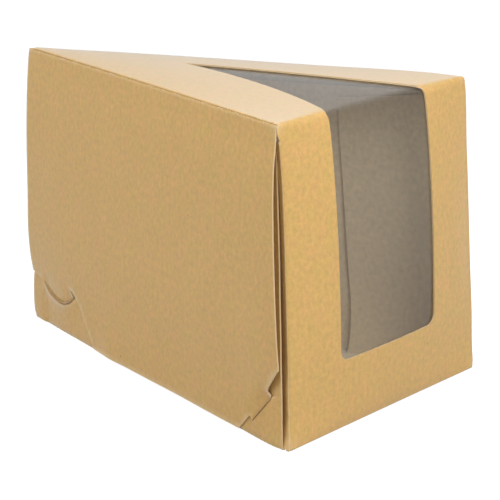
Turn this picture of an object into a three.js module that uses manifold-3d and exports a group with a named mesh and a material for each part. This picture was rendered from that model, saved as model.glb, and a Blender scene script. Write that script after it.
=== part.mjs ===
// Wedge-shaped folded card carton with a clear window in its end and top.
// Millimetres, +Z up. The windowed end faces -Y and the pointed tip faces +Y.
// A tray (bottom, inner walls, end panel, side flaps) is closed by a lid (top panel, outer walls),
// which folds back at the crease between end panel and top panel.
import * as THREE from 'three';
import * as BufferGeometryUtils from 'three/addons/utils/BufferGeometryUtils.js';
import Module from 'manifold-3d';

const wasm = await Module();
wasm.setup();

// Driving dimensions of the closed box
const HEIGHT = 80;
const TOP_LENGTH = 122.1;
const BOTTOM_LENGTH = 126.4;
const TIP_ANGLE = 36.3;
const CARD = 0.4;
const PLY_GAP = 0.3;

// Folds and rounded edges
const FOLD_RADIUS = 1.6;
const CREASE_RADIUS = 0.45;
const LID_TIP_RADIUS = 0.7;
const TRAY_TIP_RADIUS = 0.35;
const TRAY_TIP_FOOT_RADIUS = 1.2;
const TRAY_TIP_FOOT_HEIGHT = 6;
const HINGE_GAP = 0.3;
const HINGE_STANDOFF = 0.5;

// How far the panels bulge from flat
const TOP_BULGE = 2.2;
const END_BULGE = 3.3;
const WALL_BULGE = 2.55;
const TIP_BULGE = 0.96;
const FOOT_BULGE = 1.05;
const TRAY_TAPER = 0.15;
const TRAY_TIP_SPREAD = 0.55;
const TRAY_FLARE = 0.95;
const TRAY_FLARE_AT_TIP = 0.4;

// Free edges of walls and flaps
const LID_FOOT = 0.35;
const LID_WALL_SETBACK = 0.5;
const TRAY_WALL_SETBACK = 1.6;
const TRAY_RIM = 75;
const TRAY_RIM_CHAMFER = 2;
const FLAP_LENGTH = 35;
const FLAP_TOP_AT_CREASE = 75.6;
const FLAP_TOP_AT_EDGE = 72.2;
const FLAP_FOOT = 1;

// Window, one opening across the fold, and the film behind it
const WINDOW_WIDTH = 41.2;
const WINDOW_SILL = 17.8;
const WINDOW_CORNER_RADIUS = 2.8;
const WINDOW_TOP_LENGTH = 62.7;
const WINDOW_WAIST = 20;
const WINDOW_WAIST_SETBACK = 20.6;
const FILM = 0.15;
const FILM_GAP = 0.3;
const FILM_MARGIN = 6;
const FILM_TIP_WIDTH = 18;

// Locks in the walls. The rounded one is given as distance from the tip and height,
// the straight one as distance back from the leaning end edge and height.
const SLIT_WIDTH = 0.6;
const ROUND_LOCK_START = [-2, 14.7];
const ROUND_LOCK_SHOULDER = [7.2, 12.9];
const ROUND_SLIT_START = [8.4, 12.1];
const ROUND_SLIT_LOWEST = [19.2, 8.8];
const ROUND_SLIT_END = [26.1, 11.9];
const ROUND_LOCK_BACK = [24.9, 13.8];
const ROUND_LOCK_BACK_CURVE = [31.5, 11.5];
const ROUND_LOCK_FOOT = [39.3, 0];
const STRAIGHT_LOCK_TOP = [-0.8, 21.6];
const STRAIGHT_LOCK_NOTCH = [6.7, 13.3];
const STRAIGHT_SLIT_TOP = [5.6, 12.1];
const STRAIGHT_SLIT_FOOT = [13.3, 4.2];
const STRAIGHT_LOCK_STEP = [14.4, 5.2];
const STRAIGHT_LOCK_FOOT = [19.4, 0];

// Mesh fineness
const WALL_STEPS = 8;
const END_STEPS = 8;
const TIP_STEPS = 3;
const LEVEL_STEPS = 7;
const FOLD_STEPS = 3;
const TOP_STEPS = 4;
const CAP_SHARE = 0.85;
const SLIT_STEPS = 8;
const REACH = 200;

const halfAngle = THREE.MathUtils.degToRad(TIP_ANGLE / 2);
const sinHalf = Math.sin(halfAngle);
const cosHalf = Math.cos(halfAngle);
const tanHalf = Math.tan(halfAngle);
const wallLength = BOTTOM_LENGTH / cosHalf;
const windowApex = WINDOW_TOP_LENGTH - TOP_LENGTH;

// Distance from the tip to the leaning end plane at a height
function endDistance(z) {
  return THREE.MathUtils.lerp(BOTTOM_LENGTH, TOP_LENGTH, z / HEIGHT);
}

// A point of a wall, from its distance back from the leaning end edge and its height
function fromEnd([setback, z]) {
  return [endDistance(z) / cosHalf - setback, z];
}

// Share of the way from the tip to the end, and of the way down
function shares(u, z) {
  return [THREE.MathUtils.clamp(u / wallLength, 0, 1), THREE.MathUtils.clamp((HEIGHT - z) / HEIGHT, 0, 1)];
}

// Outward bulge of the lid's walls, by distance from the tip and height. It is largest at the free end edge.
function lidWallOffset(u, z) {
  const [along, depth] = shares(u, z);
  const atTip = TIP_BULGE * Math.sin(0.8 * Math.PI * depth) ** 0.7;
  const atEnd = WALL_BULGE * Math.sin(0.97 * Math.PI * depth ** 0.7);
  return THREE.MathUtils.lerp(atTip, atEnd, along ** 2) + FOOT_BULGE * depth ** 2 * Math.sin(Math.PI * along);
}

// Place of the plies inside the lid's walls, which spread a little towards the foot of the tip
function plyOffset(u, z, plies) {
  const [along, depth] = shares(u, z);
  return TRAY_TIP_SPREAD * (1 - along) * depth - plies * (CARD + PLY_GAP) - TRAY_TAPER * along;
}

// The tray's walls flare out towards their foot
function trayWallOffset(u, z) {
  const [along, depth] = shares(u, z);
  const flare = THREE.MathUtils.lerp(TRAY_FLARE_AT_TIP, TRAY_FLARE, Math.min(2 * along, 1));
  return plyOffset(u, z, 1) + flare * depth ** 1.2;
}

// The side flaps lie inside the tray's walls
function flapOffset(u, z) {
  return plyOffset(u, z, 2);
}

// The end panel bulges outwards between its creases
function endOffset(x, z) {
  const across = THREE.MathUtils.clamp(x / (tanHalf * endDistance(z)), -1, 1);
  const up = THREE.MathUtils.clamp(z / HEIGHT, 0, 1);
  return END_BULGE * (1 - across ** 2) * Math.sqrt(Math.sin(Math.PI * up));
}

// The top panel bulges upwards between its creases
function topHeight(x, y) {
  const along = THREE.MathUtils.clamp(-y / TOP_LENGTH, 0.001, 1);
  const across = THREE.MathUtils.clamp(x / (tanHalf * along * TOP_LENGTH), -1, 1);
  return HEIGHT + TOP_BULGE * (1 - across ** 2) * Math.sin(Math.PI * along ** 1.3) ** 0.7;
}

function flatHeight(height) {
  return () => height;
}

const lidForm = {
  wallOffset: lidWallOffset, endOffset, topHeight, tipRadius: () => LID_TIP_RADIUS,
  foldRadius: FOLD_RADIUS, creaseRadius: CREASE_RADIUS,
};
const trayForm = {
  wallOffset: trayWallOffset, endOffset: () => 0, topHeight: flatHeight(TRAY_RIM), tipRadius: trayTipRadius,
  foldRadius: 0, creaseRadius: 0,
};
const endForm = { ...lidForm, wallOffset: flapOffset };

// The tray's tip is blunt at its foot, where the bottom panel ends short of the walls
function trayTipRadius(z) {
  const up = THREE.MathUtils.clamp(z / TRAY_TIP_FOOT_HEIGHT, 0, 1);
  return THREE.MathUtils.lerp(TRAY_TIP_FOOT_RADIUS, TRAY_TIP_RADIUS, up);
}

// A point on a wall's surface. Side is -1 for the left wall and 1 for the right wall.
function wallPoint(side, u, offset) {
  return new THREE.Vector2(side * (u * sinHalf + offset * cosHalf), offset * sinHalf - u * cosHalf);
}

// One ring of plan points, right wall from the end to the tip, round the tip, left wall, then the end panel
function planRing(form, inset, z, wallInset, endInset) {
  const atTip = form.wallOffset(0, z) - inset;
  const radius = Math.max(form.tipRadius(z) - inset, 0.12);
  const tipU = (radius - atTip) / tanHalf;
  const nominalEnd = endDistance(z) - inset;
  const walls = [1, -1].map((side) => {
    const points = [];
    for (let i = 0; i <= WALL_STEPS; i += 1) {
      const nominalU = THREE.MathUtils.lerp(tipU, nominalEnd / cosHalf, i / WALL_STEPS);
      const offset = form.wallOffset(nominalU, z) - inset;
      const reach = (nominalEnd + offset * sinHalf) / cosHalf;
      const u = THREE.MathUtils.lerp(tipU, reach, i / WALL_STEPS);
      points.push(wallPoint(side, u, (i === 0 ? atTip : offset) - wallInset));
    }
    const corner = points[WALL_STEPS];
    const slide = (-(nominalEnd - endInset) - corner.y) / -cosHalf;
    corner.x += side * sinHalf * slide;
    corner.y -= cosHalf * slide;
    return points;
  });
  const centre = (atTip - radius) / sinHalf;
  const arc = [];
  for (let i = 1; i < TIP_STEPS; i += 1) {
    const angle = THREE.MathUtils.lerp(halfAngle, Math.PI - halfAngle, i / TIP_STEPS);
    const reach = radius - wallInset;
    arc.push(new THREE.Vector2(reach * Math.cos(angle), centre + reach * Math.sin(angle)));
  }
  const [rightCorner, leftCorner] = walls.map((points) => points[WALL_STEPS]);
  const end = [];
  for (let i = 1; i < END_STEPS; i += 1) {
    const x = THREE.MathUtils.lerp(leftCorner.x, rightCorner.x, i / END_STEPS);
    end.push(new THREE.Vector2(x, -(nominalEnd - endInset) - form.endOffset(x, z)));
  }
  return [...walls[0].toReversed(), ...arc, ...walls[1], ...end];
}

// Radius of the rim at a point of the ring: the soft fold over the end panel, the sharp creases elsewhere
function rimRadius(form, index) {
  const wallPoints = 2 * (WALL_STEPS + 1) + TIP_STEPS - 1;
  return index < wallPoints ? form.creaseRadius : form.foldRadius;
}

// All rings of a block, from its foot up its sides, over its rim and across its top
function blockRings(form, inset, foot) {
  const rings = [];
  const rimless = planRing(form, inset, HEIGHT, 0, 0);
  const radii = rimless.map((point, index) => Math.max(rimRadius(form, index) - inset, 0));
  const tops = rimless.map((point) => form.topHeight(point.x, point.y) - inset);
  for (let level = 0; level <= LEVEL_STEPS; level += 1) {
    rings.push(rimless.map((point, index) => {
      const z = THREE.MathUtils.lerp(foot, tops[index] - radii[index], level / LEVEL_STEPS);
      const place = planRing(form, inset, z, 0, 0)[index];
      return new THREE.Vector3(place.x, place.y, z);
    }));
  }
  if (form.foldRadius > 0) {
    for (let step = 1; step <= FOLD_STEPS; step += 1) {
      const turn = (Math.PI / 2) * (step / FOLD_STEPS);
      rings.push(rimless.map((point, index) => {
        const moveIn = radii[index] * (1 - Math.cos(turn));
        const wallRadius = Math.max(form.creaseRadius - inset, 0);
        const z = tops[index] - radii[index] * (1 - Math.sin(turn));
        const place = planRing(form, inset, z, wallRadius * (1 - Math.cos(turn)), moveIn)[index];
        return new THREE.Vector3(place.x, place.y, z);
      }));
    }
  }
  const rim = rings[rings.length - 1];
  const spineTip = -0.12 * TOP_LENGTH;
  const spineEnd = -0.88 * TOP_LENGTH;
  for (let step = 1; step <= TOP_STEPS; step += 1) {
    const share = CAP_SHARE * (step / TOP_STEPS);
    rings.push(rim.map((point) => {
      const y = THREE.MathUtils.lerp(point.y, THREE.MathUtils.clamp(point.y, spineEnd, spineTip), share);
      const x = point.x * (1 - share);
      return new THREE.Vector3(x, y, form.topHeight(x, y) - inset);
    }));
  }
  return rings;
}

// A closed block from its rings, capped at the foot and across the top
function block(form, inset, foot) {
  const rings = blockRings(form, inset, foot);
  const size = rings[0].length;
  const positions = rings.flat().flatMap((point) => point.toArray());
  const indices = [];
  for (let r = 0; r + 1 < rings.length; r += 1) {
    for (let i = 0; i < size; i += 1) {
      const next = (i + 1) % size;
      const [a, b, c, d] = [r * size + i, r * size + next, (r + 1) * size + next, (r + 1) * size + i];
      indices.push(a, b, c, a, c, d);
    }
  }
  for (const [ring, flip] of [[0, true], [rings.length - 1, false]]) {
    const outline = rings[ring].map((point) => new THREE.Vector2(point.x, point.y));
    for (const [a, b, c] of THREE.ShapeUtils.triangulateShape(outline, [])) {
      const face = [a, b, c].map((index) => index + ring * size);
      indices.push(...(flip ? face.toReversed() : face));
    }
  }
  const geometry = new THREE.BufferGeometry();
  geometry.setAttribute('position', new THREE.Float32BufferAttribute(positions, 3));
  geometry.setIndex(indices);
  return toSolid(geometry);
}

// Solids for joining and cutting
function toSolid(geometry) {
  const bare = geometry.clone();
  bare.deleteAttribute('normal');
  bare.deleteAttribute('uv');
  const merged = BufferGeometryUtils.mergeVertices(bare, 1e-5);
  return new wasm.Manifold(new wasm.Mesh({
    numProp: 3,
    vertProperties: new Float32Array(merged.attributes.position.array),
    triVerts: new Uint32Array(merged.index.array),
  }));
}

function toGeometry(solid) {
  const mesh = solid.getMesh();
  const geometry = new THREE.BufferGeometry();
  geometry.setAttribute('position', new THREE.BufferAttribute(mesh.vertProperties, 3));
  geometry.setIndex(new THREE.BufferAttribute(mesh.triVerts, 1));
  geometry.computeVertexNormals();
  return geometry;
}

function outlineShape(points) {
  return new THREE.Shape(points.map(([x, y]) => new THREE.Vector2(x, y)));
}

// A prism of a shape, centred on its plane, then placed by a basis
function prism(shape, thickness, basis, origin) {
  const geometry = new THREE.ExtrudeGeometry(shape, { depth: thickness, bevelEnabled: false, curveSegments: 6 });
  geometry.translate(0, 0, -thickness / 2);
  const matrix = new THREE.Matrix4().makeBasis(...basis).setPosition(...origin);
  geometry.applyMatrix4(matrix);
  return toSolid(geometry);
}

const X = new THREE.Vector3(1, 0, 0);
const Y = new THREE.Vector3(0, 1, 0);
const Z = new THREE.Vector3(0, 0, 1);

// A prism drawn on a wall, by distance from the tip and height
function wallPrism(shape, side, thickness) {
  const along = new THREE.Vector3(side * sinHalf, -cosHalf, 0);
  return prism(shape, thickness, [along, Z, along.clone().cross(Z)], [0, 0, 0]);
}

// A prism drawn in the side view, by place along Y and height
function sidePrism(points) {
  return prism(outlineShape(points), REACH, [Y, Z, X], [0, 0, 0]);
}

// A prism drawn in the plan
function planPrism(shape) {
  return prism(shape, REACH, [X, Y, Z], [0, 0, HEIGHT]);
}

// A prism drawn on the end panel, by place across and height
function endPrism(shape) {
  return prism(shape, REACH, [X, Z, Y.clone().negate()], [0, -endDistance(0), 0]);
}

// The soft fold between end and top. The lid turns on a line just outside the middle of the fold.
const foldCentre = { y: FOLD_RADIUS - TOP_LENGTH, z: HEIGHT - FOLD_RADIUS };
const foldReach = (FOLD_RADIUS + HINGE_STANDOFF) * Math.SQRT1_2;
const hingeLine = { y: foldCentre.y - foldReach, z: foldCentre.z + foldReach };
const hingeShift = (HINGE_GAP / 2) * Math.SQRT1_2;

// Side view of all that lies beyond the fold's middle plane and the free edges of the lid's walls
function beyondLid() {
  const [y, z] = [foldCentre.y + hingeShift, foldCentre.z + hingeShift];
  return sidePrism([
    [y, z],
    [y - REACH, z + REACH],
    [-REACH, -REACH],
    [LID_WALL_SETBACK - endDistance(-REACH), -REACH],
    [LID_WALL_SETBACK - endDistance(z), z],
  ]);
}

// Side view of the zone that holds the end panel, up to the fold's middle plane
function endZone() {
  const [y, z] = [foldCentre.y - hingeShift, foldCentre.z - hingeShift];
  const inside = FOLD_RADIUS;
  return sidePrism([
    [y, z],
    [y - HEIGHT, z + HEIGHT],
    [y - HEIGHT, -HEIGHT],
    [inside - endDistance(-HEIGHT), -HEIGHT],
    [inside - endDistance(z), z],
  ]);
}

// Windows: a rounded rectangle on the end panel that runs up over the fold, and a pointed one on top
function endWindow() {
  const half = WINDOW_WIDTH / 2;
  const round = WINDOW_CORNER_RADIUS;
  const shape = new THREE.Shape();
  shape.moveTo(-half, 2 * HEIGHT);
  shape.lineTo(-half, WINDOW_SILL + round);
  shape.absarc(round - half, WINDOW_SILL + round, round, Math.PI, 1.5 * Math.PI);
  shape.absarc(half - round, WINDOW_SILL + round, round, 1.5 * Math.PI, 2 * Math.PI);
  shape.lineTo(half, 2 * HEIGHT);
  return shape;
}

function topWindow() {
  const half = WINDOW_WIDTH / 2;
  const waist = WINDOW_WAIST / 2;
  const shape = new THREE.Shape();
  shape.moveTo(-half, -2 * TOP_LENGTH);
  shape.lineTo(half, -2 * TOP_LENGTH);
  shape.lineTo(half, -TOP_LENGTH);
  shape.quadraticCurveTo(waist, WINDOW_WAIST_SETBACK - TOP_LENGTH, 0, windowApex);
  shape.quadraticCurveTo(-waist, WINDOW_WAIST_SETBACK - TOP_LENGTH, -half, -TOP_LENGTH);
  return shape;
}

// Curve of the rounded lock's slit
function roundSlitCurve() {
  const points = [ROUND_SLIT_START, ROUND_SLIT_LOWEST, ROUND_SLIT_END];
  return new THREE.CatmullRomCurve3(points.map(([u, z]) => new THREE.Vector3(u, z, 0)));
}

// All that the two locks cut from the foot of a lid wall. The tongues end where they enter the slits.
function lockCuts(side) {
  const below = -HEIGHT;
  const curve = roundSlitCurve().getPoints(SLIT_STEPS).map((point) => [point.x, point.y]);
  const back = new THREE.QuadraticBezierCurve(
    new THREE.Vector2(...ROUND_LOCK_BACK),
    new THREE.Vector2(...ROUND_LOCK_BACK_CURVE),
    new THREE.Vector2(...ROUND_LOCK_FOOT),
  ).getPoints(SLIT_STEPS).map((point) => point.toArray());
  const rounded = outlineShape([
    [ROUND_LOCK_START[0] - FOLD_RADIUS, below], [ROUND_LOCK_START[0] - FOLD_RADIUS, ROUND_LOCK_START[1]],
    ROUND_LOCK_START, ROUND_LOCK_SHOULDER, ...curve, ...back, [ROUND_LOCK_FOOT[0], below],
  ]);
  const edge = [
    STRAIGHT_LOCK_TOP, STRAIGHT_LOCK_NOTCH, STRAIGHT_SLIT_TOP, STRAIGHT_SLIT_FOOT, STRAIGHT_LOCK_STEP,
    STRAIGHT_LOCK_FOOT,
  ].map(fromEnd);
  const straight = outlineShape([
    ...edge, [edge.at(-1)[0], below], [edge[0][0] + HEIGHT, below], [edge[0][0] + HEIGHT, edge[0][1]],
  ]);
  const depth = 4 * (WALL_BULGE + FOOT_BULGE);
  return wallPrism(rounded, side, depth).add(wallPrism(straight, side, depth));
}

// A slit of even width that follows a line of points
function slitShape(points) {
  const lower = points.map(([u, z], index) => {
    const [u0, z0] = points[Math.max(index - 1, 0)];
    const [u1, z1] = points[Math.min(index + 1, points.length - 1)];
    const length = Math.hypot(u1 - u0, z1 - z0);
    return [u + (SLIT_WIDTH * (z1 - z0)) / length, z - (SLIT_WIDTH * (u1 - u0)) / length];
  });
  return outlineShape([...points, ...lower.toReversed()]);
}

function traySlits(side) {
  const curve = roundSlitCurve().getPoints(SLIT_STEPS).map((point) => [point.x, point.y]);
  const depth = 4 * (CARD + PLY_GAP);
  const round = wallPrism(slitShape(curve), side, depth);
  const line = [STRAIGHT_SLIT_FOOT, STRAIGHT_SLIT_TOP].map(fromEnd);
  return round.add(wallPrism(slitShape(line), side, depth));
}

// Lid: top panel and outer walls, one folded panel with an open end
function makeLid() {
  let solid = block(lidForm, 0, LID_FOOT).subtract(block(lidForm, CARD, -CARD));
  solid = solid.subtract(beyondLid());
  solid = solid.subtract(planPrism(topWindow()));
  for (const side of [-1, 1]) {
    solid = solid.subtract(lockCuts(side));
  }
  return solid;
}

// Inner walls, cut back from the end panel, with a chamfer at the top of each free edge
function makeTrayWalls() {
  const raised = { ...trayForm, topHeight: flatHeight(2 * TRAY_RIM) };
  const shell = block(trayForm, 0, 0).subtract(block(raised, CARD, -CARD));
  const edge = (z) => TRAY_WALL_SETBACK - endDistance(z);
  return shell.subtract(sidePrism([
    [edge(-HEIGHT), -HEIGHT],
    [edge(TRAY_RIM - TRAY_RIM_CHAMFER), TRAY_RIM - TRAY_RIM_CHAMFER],
    [edge(TRAY_RIM) + 2 * TRAY_RIM_CHAMFER, TRAY_RIM + TRAY_RIM_CHAMFER],
    [-REACH, 2 * HEIGHT],
    [-REACH, -HEIGHT],
  ]));
}

function makeBottom() {
  return block({ ...trayForm, topHeight: flatHeight(CARD) }, 0, 0);
}

// End panel with its side flaps, which are folded back inside the inner walls
function makeEndPanel() {
  const shell = block(endForm, 0, 0).subtract(block(endForm, CARD, CARD));
  const corner = endDistance(FLAP_TOP_AT_EDGE) / cosHalf;
  const flap = outlineShape([
    [corner - FLAP_LENGTH, FLAP_FOOT],
    [2 * corner, FLAP_FOOT],
    [2 * corner, FLAP_TOP_AT_CREASE],
    [corner, FLAP_TOP_AT_CREASE],
    [corner - FLAP_LENGTH, FLAP_TOP_AT_EDGE],
  ]);
  const depth = 8 * (CARD + PLY_GAP);
  const flaps = wallPrism(flap, -1, depth).add(wallPrism(flap, 1, depth));
  return shell.intersect(endZone().add(flaps));
}

function makeBase() {
  let solid = makeTrayWalls().add(makeBottom());
  for (const side of [-1, 1]) {
    solid = solid.subtract(traySlits(side));
  }
  return solid.add(makeEndPanel()).subtract(endPrism(endWindow()));
}

// Film: one sheet glued behind the card, here in two halves that meet at the fold
function filmShell() {
  const inset = CARD + FILM_GAP;
  return block(lidForm, inset, 0).subtract(block(lidForm, inset + FILM, -FILM));
}

function makeTopFilm() {
  const half = WINDOW_WIDTH / 2 + FILM_MARGIN;
  const sheet = outlineShape([
    [-half, -2 * TOP_LENGTH],
    [half, -2 * TOP_LENGTH],
    [half, -TOP_LENGTH],
    [FILM_TIP_WIDTH / 2, FILM_MARGIN + windowApex],
    [-FILM_TIP_WIDTH / 2, FILM_MARGIN + windowApex],
    [-half, -TOP_LENGTH],
  ]);
  const above = sidePrism([
    [-REACH, HEIGHT - 2 * FOLD_RADIUS],
    [0, HEIGHT - 2 * FOLD_RADIUS],
    [0, 2 * HEIGHT],
    [-REACH, 2 * HEIGHT],
  ]);
  return filmShell().subtract(beyondLid()).intersect(planPrism(sheet)).intersect(above);
}

function makeEndFilm() {
  const half = WINDOW_WIDTH / 2 + FILM_MARGIN;
  const sill = WINDOW_SILL - FILM_MARGIN;
  const sheet = outlineShape([[-half, sill], [half, sill], [half, 2 * HEIGHT], [-half, 2 * HEIGHT]]);
  return filmShell().intersect(endZone()).intersect(endPrism(sheet));
}

// Kraft card and clear film
const card = { color: 0xc99f6b, roughness: 0.9, metalness: 0 };
const clear = { color: 0xdfe3e4, roughness: 0.1, metalness: 0, transparent: true, opacity: 0.3 };

function namedMesh(name, solid, look) {
  const mesh = new THREE.Mesh(toGeometry(solid), new THREE.MeshStandardMaterial(look));
  mesh.name = name;
  return mesh;
}

const carton = new THREE.Group();
carton.add(namedMesh('carton_base', makeBase(), card));
carton.add(namedMesh('carton_lid', makeLid(), card));
carton.add(namedMesh('window_film_end', makeEndFilm(), clear));
carton.add(namedMesh('window_film_top', makeTopFilm(), clear));

// The origin is under the middle of the whole box
const bounds = new THREE.Box3().setFromObject(carton);
const middle = bounds.getCenter(new THREE.Vector3());
carton.position.set(-middle.x, -middle.y, -bounds.min.z);
carton.userData.hinge = { y: hingeLine.y - middle.y, z: hingeLine.z };

export default carton;
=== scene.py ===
import math

import bpy
import numpy as np
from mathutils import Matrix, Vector
from mathutils.geometry import delaunay_2d_cdt
from mathutils.kdtree import KDTree


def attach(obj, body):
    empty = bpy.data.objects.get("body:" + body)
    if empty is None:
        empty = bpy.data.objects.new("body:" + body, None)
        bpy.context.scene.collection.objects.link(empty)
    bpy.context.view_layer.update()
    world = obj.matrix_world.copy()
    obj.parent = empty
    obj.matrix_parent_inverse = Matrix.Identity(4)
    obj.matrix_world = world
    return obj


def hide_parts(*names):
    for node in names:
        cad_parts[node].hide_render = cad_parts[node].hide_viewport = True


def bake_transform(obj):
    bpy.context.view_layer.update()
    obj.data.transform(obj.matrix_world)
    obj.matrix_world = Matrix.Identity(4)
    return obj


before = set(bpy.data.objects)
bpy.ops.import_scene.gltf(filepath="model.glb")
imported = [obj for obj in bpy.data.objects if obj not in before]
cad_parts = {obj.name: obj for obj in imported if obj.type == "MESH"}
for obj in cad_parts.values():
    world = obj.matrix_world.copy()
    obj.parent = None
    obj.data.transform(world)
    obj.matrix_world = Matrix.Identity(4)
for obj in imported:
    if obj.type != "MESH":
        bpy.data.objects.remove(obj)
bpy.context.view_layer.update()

scene = bpy.context.scene

# Sizes of the closed box, in millimetres, measured from the tip of the wedge
HEIGHT = 80.0
TOP_LENGTH = 122.1
BOTTOM_LENGTH = 126.4
HALF = math.radians(36.3 / 2)
SIN, COS, TAN = math.sin(HALF), math.cos(HALF), math.tan(HALF)
WALL_LENGTH = BOTTOM_LENGTH / COS
SHIFT_Y = 63.2901
CARD = 0.4
PLY = 0.7

# Folds
CREASE = 0.6
GROOVE_ANGLE = math.radians(52)
GROOVE_DEPTH = 0.2
GROOVE_WIDTH = 0.2
FLAP_CREASE = 0.55
FOOT_FOLD = 0.35
FOLD_MIDDLE = 2.8
FOLD_CORNER = 0.9
LID_TIP = 0.7
TIP_ZONE = 6.0

# Free edges
LID_FOOT = 0.35
LID_SETBACK = {-1: 0.5, 1: 1.6}
TRAY_SETBACK = {-1: 1.6, 1: 3.2}
TRAY_RIM = 75.0
FLAP_LENGTH = 35.0
FLAP_TOP = 75.6
FLAP_TOP_EDGE = 72.2
FLAP_FOOT = 0.4

# Window and film
WINDOW_HALF = 20.6
WINDOW_SILL = 17.8
WINDOW_CORNER = 2.8
WINDOW_APEX = 62.7
WINDOW_WAIST = (10.0, 20.6)
FILM = 0.15
FILM_GAP = 0.05
FILM_MARGIN = 6.0
FILM_TIP_HALF = 9.0

# Bulges of the panels, and how the walls lie in each other
END_BULGE = 3.22
FOOT_SWELL = 0.35
FOOT_SWELL_AT_CORNER = 0.45
FOOT_SWELL_HEIGHT = 5
TOP_BULGE = 2.2
TOP_HOLLOW = 0.2
CREASE_BOW = {-1: 0.15, 1: 0.3}
LID_TIP_BULGE = 0.75
TRAY_TIP_LEAN = 0.55
END_INSET = 0.85
WALL_GAP = 0.05
TRAY_TIP = 0.35
TRAY_TIP_SPREAD = 0.75
TRAY_TIP_FADE = 2.4

# Locks: distance from the tip and height, or distance back from the end edge and height
ROUND_START = (0.0, 14.35)
ROUND_SHOULDER = (7.1, 12.95)
ROUND_SLIT = [
    (8.4, 12.1), (11.0, 10.7), (14.2, 9.5), (18.6, 8.85), (21.8, 9.3), (24.6, 10.5), (26.2, 11.8),
]
ROUND_BACK = [
    (24.8, 13.9), (26.0, 13.75), (27.6, 12.95), (30.6, 10.7), (33.1, 7.6), (35.1, 5.0), (39.3, LID_FOOT),
]
STRAIGHT_TOP = (-0.8, 21.6)
STRAIGHT_NOTCH = (6.7, 13.3)
STRAIGHT_SLIT_TOP = (5.6, 12.1)
STRAIGHT_SLIT_FOOT = (13.3, 4.2)
STRAIGHT_STEP = (14.4, 5.2)
STRAIGHT_FOOT = (19.4, LID_FOOT)
TONGUE_REACH = 2.2
TONGUE_ZONE = 2.7
TONGUE_GAP = 0.03
LIP_HEIGHT = 0.45
LIP_WIDTH = 1.7
LID_DIP_WIDTH = 2.6
TRAY_DIP = 0.5
TRAY_DIP_WIDTH = 2.0
LID_PUFFS = [((26.5, 13.3), 2.5, 0.12), ((49, 0), 6, 0.4)]
SLIT_START = 0.05
ROUND_SLIT_WIDTH = 0.55
STRAIGHT_SLIT_WIDTH = 0.5

# Meshes: spacing of their points, and how surfaces and edges are told apart
MILLIMETRE = 0.001
FINE_STEP = 1.7
PLAIN_STEP = 2.2
BOTTOM_STEP = 2.6
EDGE_SHARE = 0.6
CLOSEST = 0.09
NORMAL_REACH = 0.02
LEAST_AREA = 1e-7
SHARP_ANGLE = math.radians(48)
INNER_MARK = 40.0
SLIT_GAPS = [0.35, 0.8, 1.4, 2.1, 3.0, -0.35, -0.8, -1.4, -2.1]


def clamp(v):
    return np.clip(v, 0.0, 1.0)


def smooth(v):
    v = clamp(v)
    return v * v * (3 - 2 * v)


def bell(v):
    return np.exp(-(v ** 2))


def end_distance(z):
    return BOTTOM_LENGTH + (TOP_LENGTH - BOTTOM_LENGTH) * z / HEIGHT


def from_end(place):
    setback, z = place
    return (end_distance(z) / COS - setback, z)


# Smooth line through some points
def spline(points, steps=6):
    p = np.array(points, float)
    p = np.vstack([2 * p[0] - p[1], p, 2 * p[-1] - p[-2]])
    out = []
    for i in range(1, len(p) - 2):
        for w in np.arange(steps) / steps:
            out.append(0.5 * (
                2 * p[i] + (p[i + 1] - p[i - 1]) * w
                + (2 * p[i - 1] - 5 * p[i] + 4 * p[i + 1] - p[i + 2]) * w ** 2
                + (3 * p[i] - p[i - 1] - 3 * p[i + 1] + p[i + 2]) * w ** 3
            ))
    out.append(p[-2])
    return np.array(out)


# A smooth function through some points
def tabled(points):
    dense = spline(points, 8)
    return lambda v: np.interp(v, dense[:, 0], dense[:, 1])


# How far the walls stand out of their planes: along the free end edge by height, along the foot by distance
# from the tip. The last two are the creases of the end panel, by height.
lid_at_end = tabled([
    (0, 0.1), (10, 0.35), (16, 0.85), (20, 1.35), (28, 1.92), (38, 2.18), (48, 2.28), (57, 2.15), (62, 2.0),
    (67, 1.7), (70.5, 1.35), (74, 0.65), (76, 0.38), (80, 0),
])
lid_at_foot = tabled([
    (0, 0.2), (20, 0.9), (35, 1.2), (42, 1.3), (49, 1.45), (59, 1.5), (69, 1.4), (78, 1.2), (87, 1.1),
    (96, 1.15), (105, 1.1), (114, 1.0), (121, 1.1), (125, 1.08), (129, 0.8), (133, 0.35),
])
tray_at_end = tabled([
    (0, 0), (10, -0.2), (20, -0.28), (28, -0.5), (38, -0.62), (47, -0.82), (57, -0.85), (80, -0.85),
])
tray_at_foot = tabled([
    (0, 0.28), (12, 0.6), (20, 0.63), (27.5, 0.64), (35, 0.82), (42, 0.9), (59, 1.0), (78, 0.75), (96, 0.75),
    (115, 0.78), (125, 0.7), (128.5, 0.55), (131, 0.05), (134, -0.05),
])
crease_right = tabled([
    (0, -0.85), (3, -0.2), (8, 0.38), (15, 0.72), (22, 0.68), (30, 0.58), (42, 0.6), (55, 0.58), (62, 0.5),
    (74, 0.7), (79, 0.25), (81, 0.15),
])
crease_left = tabled([
    (0, -0.3), (3, -0.85), (7, -1.35), (12, -1.5), (40, -1.5), (58, -1.45), (68, -1.2), (75.6, -0.8),
    (81, -0.6),
])


def shares(u, z):
    return clamp(u / WALL_LENGTH), clamp((HEIGHT - z) / HEIGHT)


def lid_offset(u, z):
    along, depth = shares(u, z)
    at_tip = LID_TIP_BULGE * np.sin(0.97 * np.pi * depth ** 0.8) + 0.2 * bell((z - 26) / 9)
    edge = 0.18 * bell((z - 14) / 3) * bell(u / 9)
    return at_tip + (lid_at_end(z) - at_tip) * along ** 1.5 + lid_at_foot(u) * depth ** 2 - edge


def ply_offset(u, z):
    along, depth = shares(u, z)
    at_tip = TRAY_TIP_LEAN * depth - PLY
    return at_tip + (-END_INSET - at_tip) * along


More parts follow.
